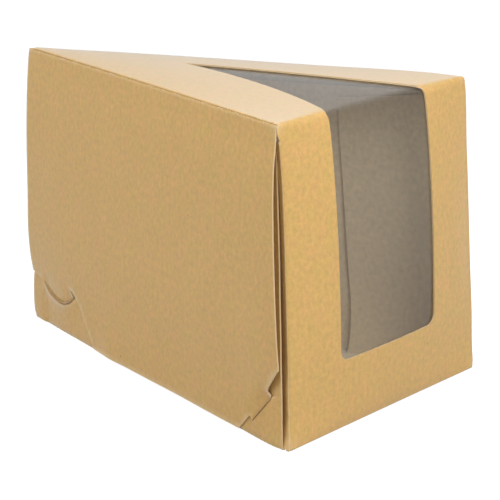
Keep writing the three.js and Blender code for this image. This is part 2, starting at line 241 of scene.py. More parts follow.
def tray_offset(u, z):
    along, depth = shares(u, z)
    plain = ply_offset(u, z) + (tray_at_end(z) + END_INSET) * along ** 3
    foot = tray_at_foot(u) - (ply_offset(u, 0 * z) + END_INSET * along ** 3)
    spread = foot * np.exp(-(z / (18 - 8 * along)) ** 4)
    below_lid = smooth((14 - z) / 1.5) * smooth((8.5 - u) / 3)
    return np.minimum(plain + spread, lid_offset(u, z) - CARD - WALL_GAP + 2 * below_lid)


# The side flaps leave the end panel's creases, well inside the walls on the left and about flush with them
# on the right
def flap_offset(side, back, z):
    inner = -PLY - END_INSET
    left = inner + (crease_left(z) - inner) * (1 - smooth((back - 8) / 10))
    left = left - 0.4 * smooth(back / 2.5) * (1 - smooth((back - 8) / 12)) * np.sin(np.pi * clamp(z / 76))
    right = inner + (crease_right(z) - inner) * (1 - smooth(back / 3.6))
    return np.where(side > 0, right, left)


# The creases along the top bow a little, more on the right than on the left
def crease_rise(side, y):
    along = clamp(-y / TOP_LENGTH)
    bow = np.sin(np.pi * along)
    right = CREASE_BOW[1] * bow + 0.35 * bell((y + 108) / 18) * smooth((y + TOP_LENGTH) / 8)
    right = right - 0.15 * bell((y + 12) / 9)
    return np.where(side > 0, right, CREASE_BOW[-1] * bow)


def top_height(x, y):
    along = np.clip(-y / TOP_LENGTH, 0.001, 1)
    across = np.clip(x / (TAN * along * TOP_LENGTH), -1, 1)
    bulge = TOP_BULGE * np.sin(np.pi * along ** 1.3) ** 0.7 - TOP_HOLLOW * np.sin(np.pi * along)
    return HEIGHT + bulge * (1 - across ** 2) + crease_rise(x, y) * across ** 2


def wall_xy(side, u, offset):
    return side * (u * SIN + offset * COS), offset * SIN - u * COS


def resample(points, step, closed=False):
    p = np.array(points, float)
    if closed:
        p = np.vstack([p, p[:1]])
    out = []
    for a, b in zip(p[:-1], p[1:]):
        count = max(1, int(math.ceil(np.hypot(*(b - a)) / step)))
        for i in range(count):
            out.append(a + (b - a) * i / count)
    if not closed:
        out.append(p[-1])
    return np.array(out)


# Distance from points to a line of points, and on which side of it they are
def line_distance(s, t, line):
    line = np.array(line, float)
    best = np.full(np.shape(s), 1e9)
    above = np.ones(np.shape(s))
    for a, b in zip(line[:-1], line[1:]):
        d = b - a
        w = clamp(((s - a[0]) * d[0] + (t - a[1]) * d[1]) / (d @ d))
        gap = np.hypot(s - a[0] - w * d[0], t - a[1] - w * d[1])
        cross = d[0] * (t - a[1]) - d[1] * (s - a[0])
        closer = gap < best
        best = np.where(closer, gap, best)
        above = np.where(closer, np.sign(cross), above)
    return best, above


round_slit = spline(ROUND_SLIT)
round_back = spline(ROUND_BACK)
straight_slit = np.array([from_end(STRAIGHT_SLIT_FOOT), from_end(STRAIGHT_SLIT_TOP)])
round_core = round_slit[5:-5]
straight_core = straight_slit[0] + (straight_slit[1] - straight_slit[0]) * np.array([[0.12], [0.88]])


# The tongues dip through the slits and pass under the tray's raised lips
def lip_height(near):
    return LIP_HEIGHT * bell(near / LIP_WIDTH)


def lid_detail(u, z):
    lid, tray = lid_offset(u, z), tray_offset(u, z)
    move = 0
    for (at_u, at_z), size, amount in LID_PUFFS:
        move = move + amount * bell(np.hypot(u - at_u, z - at_z) / size)
    for core in (round_core, straight_core):
        near, above = line_distance(u, z, core)
        under = tray + lip_height(near) - CARD - TONGUE_GAP - lid
        at_line = tray + lip_height(0) - CARD - TONGUE_GAP - lid
        dip = at_line * bell(near / LID_DIP_WIDTH)
        move = move + np.where((above < 0) & (near < TONGUE_ZONE), under, dip)
    return move


def tray_detail(u, z):
    move = 0
    for core in (round_core, straight_core):
        near, above = line_distance(u, z, core)
        move = move + np.where(above < 0, lip_height(near), -TRAY_DIP * bell(near / TRAY_DIP_WIDTH))
    return move


# A place on a pair of walls that are joined round the tip. s runs from the left end to the right end.
def place_walls(s, t, z, offset_at, tip_radius, detail, inward, lift):
    side = np.where(s < 0, -1.0, 1.0)
    reach = np.abs(s)
    tip_offset = offset_at(0.0, z)
    tip_u = (tip_radius - tip_offset) / TAN
    arc = tip_radius * (math.pi / 2 - HALF)
    total = arc + TIP_ZONE - tip_u
    path = np.where(reach < TIP_ZONE, reach / TIP_ZONE * total, arc + reach - tip_u)
    u = tip_u + path - arc
    local = detail(reach, z) * smooth(reach / 1.5)
    offset = offset_at(np.maximum(u, 0), z) + local - inward
    wall_x, wall_y = wall_xy(side, u, offset)
    angle = math.pi / 2 - path / arc * (math.pi / 2 - HALF)
    centre = (tip_offset - tip_radius) / SIN
    radius = tip_radius - inward
    on_wall = path >= arc
    x = np.where(on_wall, wall_x, side * radius * np.cos(angle))
    y = np.where(on_wall, wall_y, centre + radius * np.sin(angle))
    return np.stack([x, y, z + lift + crease_rise(side, y) * clamp(z / HEIGHT) ** 4], axis=-1)


def groove(angle):
    return GROOVE_DEPTH * bell((angle - GROOVE_ANGLE) / GROOVE_WIDTH)


def place_lid(s, t):
    start = HEIGHT - CREASE
    turn = np.maximum(t - start, 0) / CREASE
    sink = groove(turn) * (turn > 0)
    inward = CREASE * (1 - np.cos(turn)) + sink * np.cos(turn)
    lift = CREASE * np.sin(turn) - sink * np.sin(turn)
    return place_walls(s, t, np.minimum(t, start), lid_offset, LID_TIP, lid_detail, inward, lift)


def place_tray(s, t):
    turn = np.maximum(FOOT_FOLD - t, 0) / FOOT_FOLD
    z = np.maximum(t, FOOT_FOLD)
    radius = TRAY_TIP + TRAY_TIP_SPREAD * np.exp(-z / TRAY_TIP_FADE)
    inward = FOOT_FOLD * (1 - np.cos(turn))
    lift = -FOOT_FOLD * np.sin(turn)
    return place_walls(s, t, z, tray_offset, radius, tray_detail, inward, lift)


# The corner where the end panel turns into its flaps
def flap_corner(side, z):
    offset = flap_offset(side, 0 * z, z)
    u = (end_distance(z) + offset * SIN) / COS
    return u, u * SIN + offset * COS


def end_point(x, z):
    across = np.clip(x / (TAN * end_distance(z)), -1, 1)
    bulge = END_BULGE * (1 - across ** 2) * np.sqrt(np.sin(math.pi * clamp(z / HEIGHT)))
    foot = (FOOT_SWELL + FOOT_SWELL_AT_CORNER * across ** 2) * bell(z / FOOT_SWELL_HEIGHT)
    return np.stack([x, -end_distance(z) - bulge - foot, z], axis=-1)


def top_point(x, d):
    y = d - TOP_LENGTH
    return np.stack([x, y, top_height(x, y)], axis=-1)


def fold_radius(x):
    across = clamp(np.abs(x) / (TAN * TOP_LENGTH))
    return FOLD_CORNER + (FOLD_MIDDLE - FOLD_CORNER) * (1 - across ** 2)


def curve(a, b, c, w):
    w = w[..., None]
    return (1 - w) ** 2 * a + 2 * w * (1 - w) * b + w ** 2 * c


# Distance inwards from the rim of the top panel, and the way out
def rim_place(x, y):
    side = np.where(x < 0, -1.0, 1.0)
    inside = -(x * side * COS + y * SIN)
    centre = -LID_TIP / SIN
    reach = np.maximum(np.hypot(x, y - centre), 1e-9)
    round_part = (y - centre) > np.abs(x) * TAN
    q = np.where(round_part, LID_TIP - reach, inside)
    nx = np.where(round_part, x / reach, side * COS)
    ny = np.where(round_part, (y - centre) / reach, SIN)
    return q, nx, ny


# A place on the sheet of end panel, flaps and top panel. s runs across, t up the end and on over the top.
def place_panel(s, t):
    side = np.where(s < 0, -1.0, 1.0)
    reach = np.abs(s)
    radius = fold_radius(s)
    low = HEIGHT - radius
    z = np.clip(t, FOOT_FOLD, low)
    p = end_point(s, z)

    # flaps
    u_corner, x_corner = flap_corner(side, z)
    corner_y = end_point(side * x_corner, z)[..., 1] + end_distance(z)

    def flap_at(d):
        u = u_corner - d
        fx, fy = wall_xy(side, u, flap_offset(side, d, z))
        return np.stack([fx, fy + corner_y * (1 - smooth(d / 3)), z], axis=-1)

    corner = flap_at(np.zeros_like(z))
    w = clamp((reach - x_corner + FLAP_CREASE) / (2 * FLAP_CREASE))
    before = end_point(side * (x_corner - FLAP_CREASE), z)
    bent = curve(before, corner, flap_at(np.full_like(z, FLAP_CREASE)), w)
    beyond = flap_at(np.maximum(reach - x_corner, FLAP_CREASE))
    turned = np.where((reach > x_corner + FLAP_CREASE)[..., None], beyond, bent)
    folded = (reach > x_corner - FLAP_CREASE) & (t <= FLAP_TOP + 1e-4)
    p = np.where(folded[..., None], turned, p)

    # fold under the foot
    turn = np.clip((FOOT_FOLD - t) / FOOT_FOLD, 0, math.pi / 2)
    under = np.maximum(FOOT_FOLD * (1 - math.pi / 2) - t, 0)
    p[..., 1] += FOOT_FOLD * (1 - np.cos(turn)) + under
    p[..., 2] -= FOOT_FOLD * np.sin(turn)

    # soft fold between end and top
    a = end_point(s, low)
    a_way = a - end_point(s, low - 0.3)
    c = top_point(s, radius)
    c_way = c - top_point(s, radius + 0.3)
    cross = a_way[..., 1] * c_way[..., 2] - a_way[..., 2] * c_way[..., 1]
    gap_y, gap_z = c[..., 1] - a[..., 1], c[..., 2] - a[..., 2]
    length = (gap_y * c_way[..., 2] - gap_z * c_way[..., 1]) / cross
    b = a + a_way * length[..., None]
    bent = curve(a, b, c, clamp((t - low) / (2 * radius)))
    p = np.where((t > low)[..., None], bent, p)
    top = top_point(s, np.maximum(t - HEIGHT, radius))
    p = np.where((t > HEIGHT + radius)[..., None], top, p)

    # the top panel rolls over at its rim
    q, nx, ny = rim_place(p[..., 0], p[..., 1])
    turn = np.clip((CREASE - q) / CREASE, 0, math.pi / 2) * smooth((t - HEIGHT) / 1.5)
    sink = groove(math.pi / 2 - turn) * (turn > 0)
    move = q - CREASE * (1 - np.sin(turn)) - sink * np.sin(turn)
    rolled = (turn > 0) & (t > HEIGHT)
    p[..., 0] += np.where(rolled, nx * move, 0)
    p[..., 1] += np.where(rolled, ny * move, 0)
    p[..., 2] -= np.where(rolled, CREASE * (1 - np.cos(turn)) + sink * np.cos(turn), 0)
    return p


def place_bottom(s, t):
    return np.stack([s, t, 0 * s], axis=-1)


def inside_loop(points, loop):
    x, y = points[:, 0][:, None], points[:, 1][:, None]
    x0, y0 = loop[:, 0], loop[:, 1]
    x1, y1 = np.roll(x0, -1), np.roll(y0, -1)
    crosses = (y0 > y) != (y1 > y)
    rise = np.where(y1 == y0, 1e-12, y1 - y0)
    at = x0 + (y - y0) / rise * (x1 - x0)
    return (np.sum(crosses & (x < at), axis=1) % 2) == 1


# A folded sheet: its flat outline is filled with points, joined up, and laid on its two surfaces
class Sheet:
    def __init__(self):
        self.places, self.flat, self.tone = [], [], []
        self.faces, self.kinds, self.count = [], [], 0

    def add(self, outline, holes, place, step, rows=(), thickness=CARD, raise_by=0.0, flip=False, tone=None):
        loops = [resample(loop, step * EDGE_SHARE, closed=True) for loop in [outline, *holes]]
        points = list(np.vstack(loops))
        edges = []
        first = 0
        for loop in loops:
            edges += [(first + i, first + (i + 1) % len(loop)) for i in range(len(loop))]
            first += len(loop)

        def allowed(candidates):
            keep = inside_loop(candidates, loops[0])
            for loop in loops[1:]:
                keep &= ~inside_loop(candidates, loop)
            return candidates[keep]

        fixed = KDTree(len(points) + sum(len(r) for r in rows))
        for i, p in enumerate(points):
            fixed.insert((p[0], p[1], 0), i)
        fixed.balance()
        extra = []
        for row in rows:
            for p in allowed(np.array(row, float)):
                if fixed.find((p[0], p[1], 0))[2] > CLOSEST:
                    extra.append(p)
        crowd = KDTree(len(points) + len(extra))
        for i, p in enumerate(points + extra):
            crowd.insert((p[0], p[1], 0), i)
        crowd.balance()
        low, high = loops[0].min(0), loops[0].max(0)
        grid_s, grid_t = np.meshgrid(np.arange(low[0], high[0], step), np.arange(low[1], high[1], step))
        grid_s[1::2] += step / 2
        grid = allowed(np.stack([grid_s.ravel(), grid_t.ravel()], axis=1))
        grid = [p for p in grid if crowd.find((p[0], p[1], 0))[2] > step * 0.5]
        points = points + extra + grid
        made = delaunay_2d_cdt([Vector((p[0], p[1])) for p in points], edges, [], 0, 1e-4, False)
        flat = np.array([(v.x, v.y) for v in made[0]])
        triangles = np.array(made[2])
        a, b, c = flat[triangles[:, 0]], flat[triangles[:, 1]], flat[triangles[:, 2]]
        middle = (a + b + c) / 3
        keep = inside_loop(middle, loops[0])
        for loop in loops[1:]:
            keep &= ~inside_loop(middle, loop)
        turned = (b - a)[:, 0] * (c - a)[:, 1] - (b - a)[:, 1] * (c - a)[:, 0]
        keep &= np.abs(turned) > LEAST_AREA
        triangles = np.where((turned < 0)[:, None], triangles[:, ::-1], triangles)[keep]

        s, t = flat[:, 0], flat[:, 1]
        across = place(s + NORMAL_REACH, t) - place(s - NORMAL_REACH, t)
        along = place(s, t + NORMAL_REACH) - place(s, t - NORMAL_REACH)
        normal = np.cross(across, along)
        normal /= np.maximum(np.linalg.norm(normal, axis=1), 1e-12)[:, None]
        if flip:
            normal = -normal
            triangles = triangles[:, ::-1]
        surface = place(s, t)
        outer = surface + normal * raise_by
        inner = surface + normal * (raise_by - thickness)
        n = len(flat)
        top, base = self.count, self.count + n
        self.places += [outer, inner]
        self.flat += [np.stack([s, t, np.full(n, mark)], axis=1) for mark in (0.0, INNER_MARK)]
        self.tone += [tone(s, t, outer) if tone else np.zeros(n), np.zeros(n)]
        self.faces += [tuple(int(i) + top for i in tri) for tri in triangles]
        self.faces += [tuple(int(i) + base for i in tri[::-1]) for tri in triangles]
        self.kinds += [0] * (2 * len(triangles))
        used = {}
        for tri in triangles:
            for i in range(3):
                used[(int(tri[i]), int(tri[(i + 1) % 3]))] = 1
        for i, j in used:
            if (j, i) not in used:
                self.faces.append((j + top, i + top, i + base, j + base))
                self.kinds.append(1)
        self.count += 2 * n

    def build(self, name, materials):
        places = np.vstack(self.places)
        places[:, 1] += SHIFT_Y
        places *= MILLIMETRE
        mesh = bpy.data.meshes.new(name)
        mesh.from_pydata(places.tolist(), [], self.faces)
        for material in materials:
            mesh.materials.append(material)
        mesh.polygons.foreach_set("material_index", self.kinds)
        mesh.polygons.foreach_set("use_smooth", [True] * len(self.faces))
        flat = mesh.attributes.new("flat", "FLOAT_VECTOR", "POINT")
        flat.data.foreach_set("vector", np.vstack(self.flat).ravel().astype(np.float32))
        tone = mesh.attributes.new("tone", "FLOAT", "POINT")
        tone.data.foreach_set("value", np.concatenate(self.tone).astype(np.float32))
        mesh.set_sharp_from_angle(angle=SHARP_ANGLE)
        mesh.validate()
        mesh.update()
        piece = bpy.data.objects.new(name, mesh)
        scene.collection.objects.link(piece)
        return piece


# Rows of points beside a line, which let the card bend finely there
def rows_beside(line, gaps, step):
    line = resample(line, step)
    way = np.gradient(line, axis=0)
    way /= np.maximum(np.hypot(way[:, 0], way[:, 1]), 1e-9)[:, None]
    normal = np.stack([-way[:, 1], way[:, 0]], axis=1)
    return [line + normal * gap for gap in gaps]


def mirrored(points):
    return np.array(points, float) * np.array([-1.0, 1.0])


def both(rows):
    return [r for row in rows for r in (np.array(row, float), mirrored(row))]


def lid_free_edge(side, z):
    u = end_distance(z) / COS
    for _ in range(4):
        u = (end_distance(z) - LID_SETBACK[side] + lid_offset(u, z) * SIN) / COS
    return u


def tray_free_edge(side, z):
    u = end_distance(z) / COS
    for _ in range(3):
        u = (end_distance(z) - TRAY_SETBACK[side] + tray_offset(u, z) * SIN) / COS
    return u


# A tongue beyond a slit's line
def tongue(line, reach):
    line = resample(line, 0.8)
    way = np.gradient(line, axis=0)
    way /= np.hypot(way[:, 0], way[:, 1])[:, None]
    normal = np.stack([way[:, 1], -way[:, 0]], axis=1)
    share = np.linspace(0, 1, len(line))[:, None]
    out = line + (line.mean(0) - line) * 0.12 + normal * reach * clamp(np.sin(share * math.pi) * 2.2) ** 0.5
    return [line[0], *out[1:-1], line[-1]]


# Outer walls
lid_top = HEIGHT - CREASE + CREASE * GROOVE_ANGLE
notch, top = from_end(STRAIGHT_NOTCH), from_end(STRAIGHT_TOP)


def lid_edge(side):
    cut = np.linspace(0, 1, 200)
    line = np.stack([notch[0] + (top[0] - notch[0]) * cut, notch[1] + (top[1] - notch[1]) * cut], axis=1)
    crossing = line[int(np.argmax(line[:, 0] > [lid_free_edge(side, z) for z in line[:, 1]]))]
    points = [
        ROUND_START, ROUND_SHOULDER, *tongue(round_slit, TONGUE_REACH), *round_back,
        from_end(STRAIGHT_FOOT), from_end(STRAIGHT_STEP), *tongue(straight_slit, TONGUE_REACH),
        notch, crossing,
    ]
    points += [(lid_free_edge(side, z), min(z, lid_top)) for z in np.linspace(crossing[1] + 1, HEIGHT, 60)]
    points[-1] = (points[-1][0], lid_top)
    return [(side * float(u), float(z)) for u, z in points]


lid_outline = lid_edge(1) + lid_edge(-1)[::-1][:-1]
lid_cut_edges = [
    [ROUND_START, ROUND_SHOULDER, round_slit[0]], [round_slit[-1], *round_back, from_end(STRAIGHT_FOOT)],
    [from_end(STRAIGHT_FOOT), from_end(STRAIGHT_STEP), straight_slit[0]], [straight_slit[1], notch, top],
]

crease_rows = [
    [(s, t) for s in np.arange(-127.5, 127.5, 1.2)]
    for t in [HEIGHT - CREASE - 0.5, *(HEIGHT - CREASE + CREASE * np.linspace(0, GROOVE_ANGLE - 0.08, 7))]
]
tip_rows = [[(s, t) for t in np.arange(LID_FOOT, HEIGHT, 1.4)] for s in np.linspace(-5, 5, 15)]
slit_rows = both(rows_beside(round_slit, SLIT_GAPS, 0.8) + rows_beside(straight_slit, SLIT_GAPS, 0.8))


def corner_wear(places):
    spots = [
        ((-39.6, -121.6, 79.6), 1.8, 0.9), ((39.6, -121.6, 79.6), 1.5, 0.7),
        ((0, -1.5, 79.6), 3.0, 0.5), ((-40.2, -125.8, 1.2), 2.2, 0.7), ((40.2, -125.8, 1.2), 2.0, 0.6),
    ]
    total = np.zeros(len(places))
    for spot, size, amount in spots:
        total += amount * bell(np.linalg.norm(places - np.array(spot), axis=1) / size)
    return total


# Painted shade along the groove of a crease, and beside it a paler ridge that is partly wear and partly
# painted highlight
def crease_tone(turn, ridge_amount, ridge_angle):
    return -1.0 * bell((turn - GROOVE_ANGLE) / 0.28) + ridge_amount * bell((turn - ridge_angle) / 0.5)


def lid_tone(s, t, places):
    shade = crease_tone((t - (HEIGHT - CREASE)) / CREASE, 0.6, 0.1)
    shade += 0.25 * bell(s / 0.9) * smooth((t - 10) / 10)
    # painted highlight along the cut edges of the tongues and notches, where the pressed rim of the outer
    # face catches the light
    for edge in lid_cut_edges:
        shade += 1.1 * bell(line_distance(np.abs(s), t, edge)[0] / 0.35)
    # painted shadow along the slits
    for slit, amount in ((round_slit, 1.6), (straight_slit, 0.8)):
        shade -= amount * bell(line_distance(np.abs(s), t, slit)[0] / 0.55)
    return shade + corner_wear(places)


lid_sheet = Sheet()
lid_rows = crease_rows + tip_rows + slit_rows
lid_sheet.add(lid_outline, [], place_lid, FINE_STEP, rows=lid_rows, flip=True, tone=lid_tone)

# Inner walls, with a slit for each tongue
tray_low = FOOT_FOLD * (1 - math.pi / 2)


def tray_edge(side):
    points = [(tray_free_edge(side, max(z, 0.0)), z) for z in np.linspace(tray_low, TRAY_RIM - 2, 50)]
    points.append((tray_free_edge(side, TRAY_RIM) - 2, TRAY_RIM))
    return [(side * float(u), float(z)) for u, z in points]


tray_outline = tray_edge(1) + tray_edge(-1)[::-1]


def slit_loop(line, width):
    line = np.array(line, float)
    way = np.gradient(line, axis=0)
    way /= np.hypot(way[:, 0], way[:, 1])[:, None]
    normal = np.stack([way[:, 1], -way[:, 0]], axis=1)
    taper = np.sin(np.linspace(0.12, 0.88, len(line)) * math.pi)[:, None] ** 0.5
    return np.vstack([line + normal * SLIT_START, (line + normal * (SLIT_START + width * taper))[::-1]])


slits = [
    slit_loop(round_slit, ROUND_SLIT_WIDTH), slit_loop(resample(straight_slit, 1.0), STRAIGHT_SLIT_WIDTH),
]
slits += [mirrored(loop) for loop in slits]
foot_rows = [[(s, t) for s in np.arange(-132, 132, 1.5)] for t in np.linspace(tray_low, FOOT_FOLD, 5)]


def tray_tone(s, t, places):
    # painted shadow at each slit and above it, and a painted highlight on the raised lip below it
    near, above = line_distance(np.abs(s), t, round_slit)
    at_line = bell(near / 0.5)
    shade = np.where(above < 0, 1.1 * bell((near - 0.9) / 0.5) - 0.8 * at_line, -0.6 * at_line)
    near, above = line_distance(np.abs(s), t, straight_slit)
    shade += np.where(above < 0, 0.3 * bell(near / 0.6), -0.3 * bell(near / 0.5))
    return shade + corner_wear(places)


tray_sheet = Sheet()
tray_rows = foot_rows + tip_rows + slit_rows
tray_sheet.add(tray_outline, slits, place_tray, PLAIN_STEP, rows=tray_rows, flip=True, tone=tray_tone)

# Bottom panel
bottom_u = np.linspace(3.5, end_distance(0) / COS - 0.8, 60)
bottom_side = [wall_xy(1, u, float(tray_offset(u, 0.0)) - FOOT_FOLD) for u in bottom_u]
bottom_side = [(x, max(y, 1.3 - BOTTOM_LENGTH)) for x, y in bottom_side]
tip_at_foot, bottom_tip = 1.1, 0.75
bottom_centre = float((tray_offset(0.0, 0.0) - tip_at_foot) / SIN)
bottom_arc = [
    (bottom_tip * math.cos(a), bottom_centre + bottom_tip * math.sin(a))
    for a in np.linspace(math.pi - HALF, HALF, 9)
]
bottom_side = [p for p in bottom_side if p[1] < bottom_arc[-1][1] - 0.3]
bottom_outline = bottom_arc + bottom_side + [(-x, y) for x, y in reversed(bottom_side)]
tray_sheet.add(bottom_outline, [], place_bottom, BOTTOM_STEP, flip=True)


# End panel, flaps and top panel
def panel_edge(side):
    foot = float(flap_corner(side, 0.0)[1]) - 0.3
    at_top = float(flap_corner(side, FLAP_TOP)[1])
    if side > 0:
        upper = [(at_top - 0.3, FLAP_TOP + 0.15), (40.05, HEIGHT - 1.3)]
    else:
        upper = [(39.2, 76.1), (39.75, 77.4), (39.9, 79.0)]
    points = [
        (foot, tray_low - 0.8), (foot, FLAP_FOOT - 0.2), (foot + 0.8, FLAP_FOOT),
        (float(flap_corner(side, FLAP_FOOT)[1]) + FLAP_LENGTH, FLAP_FOOT),
        (float(flap_corner(side, FLAP_TOP_EDGE)[1]) + FLAP_LENGTH, FLAP_TOP_EDGE),
        (at_top + 0.4, FLAP_TOP), (at_top, FLAP_TOP), *upper, (39.8, HEIGHT + 0.2),
    ]
    return [(side * x, t) for x, t in points]


rim_inset = CREASE * (1 - (math.pi / 2 - GROOVE_ANGLE))
rim_u_values = np.linspace((TOP_LENGTH - 1.0) / COS, 3.2, 100)
rim_line = [wall_xy(1, u, -rim_inset) for u in rim_u_values]
tip_centre = -LID_TIP / SIN
tip_arc = [
    ((LID_TIP - rim_inset) * math.cos(a), tip_centre + (LID_TIP - rim_inset) * math.sin(a))
    for a in np.linspace(HALF, math.pi / 2, 7)
]
rim_line = [p for p in rim_line if p[1] < tip_arc[0][1] - 0.2]
rim_line = [(float(x), float(HEIGHT + TOP_LENGTH + y)) for x, y in rim_line + tip_arc]
panel_outline = [(0.0, tray_low - 0.8), *panel_edge(1), *rim_line]
panel_outline += [(-x, t) for x, t in rim_line[-2::-1]] + panel_edge(-1)[::-1]

window_right = [(0.0, WINDOW_SILL)]
for a in np.linspace(-math.pi / 2, 0, 9):
    window_right.append((
        WINDOW_HALF - WINDOW_CORNER + WINDOW_CORNER * math.cos(a),
        WINDOW_SILL + WINDOW_CORNER + WINDOW_CORNER * math.sin(a),
    ))
for w in np.linspace(0, 1, 50):
    window_right.append((
        (1 - w) ** 2 * WINDOW_HALF + 2 * w * (1 - w) * WINDOW_WAIST[0],
        HEIGHT + 2 * w * (1 - w) * WINDOW_WAIST[1] + w ** 2 * WINDOW_APEX,
    ))
window = window_right + [(-x, t) for x, t in reversed(window_right[1:-1])]

panel_rows = [
    [(x, t) for x in np.arange(-39.4, 39.5, 1.3)]
    for t in [*np.linspace(HEIGHT - 3.2, HEIGHT + 3.2, 15), *np.linspace(tray_low - 0.4, 0.7, 6)]
]
fold_rows = panel_rows[:15]
heights = np.arange(FLAP_FOOT + 0.3, FLAP_TOP - 0.1, 1.4)
for side in (-1, 1):
    for gap in [*np.linspace(-FLAP_CREASE, FLAP_CREASE, 9), 1.2, 2.0, 2.8, 3.6]:
        panel_rows.append([(side * (float(flap_corner(side, z)[1]) + gap), z) for z in heights])
for q in [rim_inset + 0.06, 0.27, 0.34, 0.41, 0.5, 0.6, 0.75, 1.1]:
    row = [wall_xy(1, u, -q) for u in np.arange(4, TOP_LENGTH / COS - 0.4, 1.2)]
    panel_rows += both([[(x, HEIGHT + TOP_LENGTH + y) for x, y in row]])


def panel_tone(s, t, places):
    q = rim_place(s, t - HEIGHT - TOP_LENGTH)[0]
    turn = math.pi / 2 - (CREASE - q) / CREASE
    shade = crease_tone(turn, 0.5, 1.7) * smooth(t - HEIGHT)
    # at each flap crease: a thin line of painted shade, and a paler strip on the flap just past it that is
    # painted highlight on the ridge and wear
    gap = np.abs(s) - flap_corner(np.sign(s), np.clip(t, 0, HEIGHT))[1]
    crease = (t < FLAP_TOP) & (t > FOOT_FOLD)
    shade += np.where(crease, -0.4 * bell((gap + 0.3) / 0.18) + 1.2 * bell((gap - 0.15) / 0.3), 0)
    return shade + corner_wear(places)


panel_sheet = Sheet()
panel_sheet.add(panel_outline, [window], place_panel, FINE_STEP, rows=panel_rows, tone=panel_tone)

# Window film, one sheet behind the card
film_right = [(0.0, WINDOW_SILL - FILM_MARGIN), (WINDOW_HALF + FILM_MARGIN, WINDOW_SILL - FILM_MARGIN)]
film_right += [(WINDOW_HALF + FILM_MARGIN, HEIGHT)]
film_right += [(FILM_TIP_HALF, HEIGHT + WINDOW_APEX + FILM_MARGIN), (0.0, HEIGHT + WINDOW_APEX + FILM_MARGIN)]
film_outline = film_right + [(-x, t) for x, t in reversed(film_right[1:-1])]
film_sheet = Sheet()
film_depth = CARD + FILM_GAP
film_sheet.add(
    film_outline, [], place_panel, PLAIN_STEP, rows=fold_rows, thickness=FILM, raise_by=-film_depth,
)


# The nodes of a material or of the world
class Nodes:
    def __init__(self, owner):
        owner.use_nodes = True
        self.owner = owner
        self.tree = owner.node_tree
        self.tree.nodes.clear()

    def node(self, kind, settings=(), **inputs):
        made = self.tree.nodes.new(kind)
        for key, value in dict(settings).items():
            setattr(made, key, value)
        for key, value in inputs.items():
            numbered = key[0] == "i" and key[1:].isdigit()
            self.put(value, made.inputs[int(key[1:]) if numbered else key.replace("_", " ")])
        return made

    def put(self, value, socket):
        if isinstance(value, bpy.types.NodeSocket):
            self.tree.links.new(value, socket)
        else:
            socket.default_value = value

    def math(self, operation, a, b=0.0, c=0.0, clamp_it=False):
        made = self.node("ShaderNodeMath", {"operation": operation, "use_clamp": clamp_it}, i0=a, i1=b, i2=c)
        return made.outputs[0]

    def stretch(self, source, scale):
        made = self.node("ShaderNodeVectorMath", {"operation": "MULTIPLY"}, i0=source, i1=scale)
        return made.outputs[0]

    def noise(self, source, scale, detail=2.0, roughness=0.5):
        inputs = {"Vector": source, "Scale": scale, "Detail": detail, "Roughness": roughness}
        return self.node("ShaderNodeTexNoise", {}, **inputs).outputs["Fac"]

    def ramp(self, value, low, high):
        ends = {"i1": low[0], "i2": high[0], "i3": low[1], "i4": high[1]}
        return self.node("ShaderNodeMapRange", {"clamp": True}, i0=value, **ends).outputs[0]

    def mix(self, factor, a, b, kind="MIX"):
        made = self.node("ShaderNodeMix", {"data_type": "RGBA", "blend_type": kind})
        self.put(factor, made.inputs[0])
        self.put(a, made.inputs[6])
        self.put(b, made.inputs[7])
        return made.outputs[2]

    # 1 on surfaces that the camera sees, directly, in a reflection or through the film
    def seen(self):
        path = self.node("ShaderNodeLightPath").outputs
        most = self.math("MAXIMUM", path["Is Camera Ray"], path["Is Glossy Ray"])
        return self.math("MAXIMUM", most, path["Is Transmission Ray"])

    def finish(self, shader, kind="ShaderNodeOutputMaterial"):
        self.node(kind, {}, Surface=shader)
        return self.owner


def colour(r, g, b):
    def linear(v):
        v /= 255
        return v / 12.92 if v <= 0.04045 else ((v + 0.055) / 1.055) ** 2.4
    return (linear(r), linear(g), linear(b), 1.0)


# Colours
KRAFT = (0.70, 0.434, 0.14)
KRAFT_CUT = (0.70, 0.49, 0.25)
INNER_FACE = (0.74, 0.61, 0.42, 1)
PALE_FACE, PALE_CUT = colour(240, 212, 165), colour(247, 229, 197)
FLECK = colour(120, 84, 44)
# colour of the painted shade in creases, slits and gaps
PAINTED_SHADE_COLOUR = colour(112, 78, 36)
LOW_SHEEN = (0.93, 0.90, 0.82, 1)
FILM_TINT = (0.965, 0.97, 0.968, 1)
FILM_HAZE = (0.8, 0.8, 0.8, 1)
WHITE = (1, 1, 1, 1)


def tinted(base, red, green, blue):
    return (base[0] * red, base[1] * green, base[2] * blue, 1)


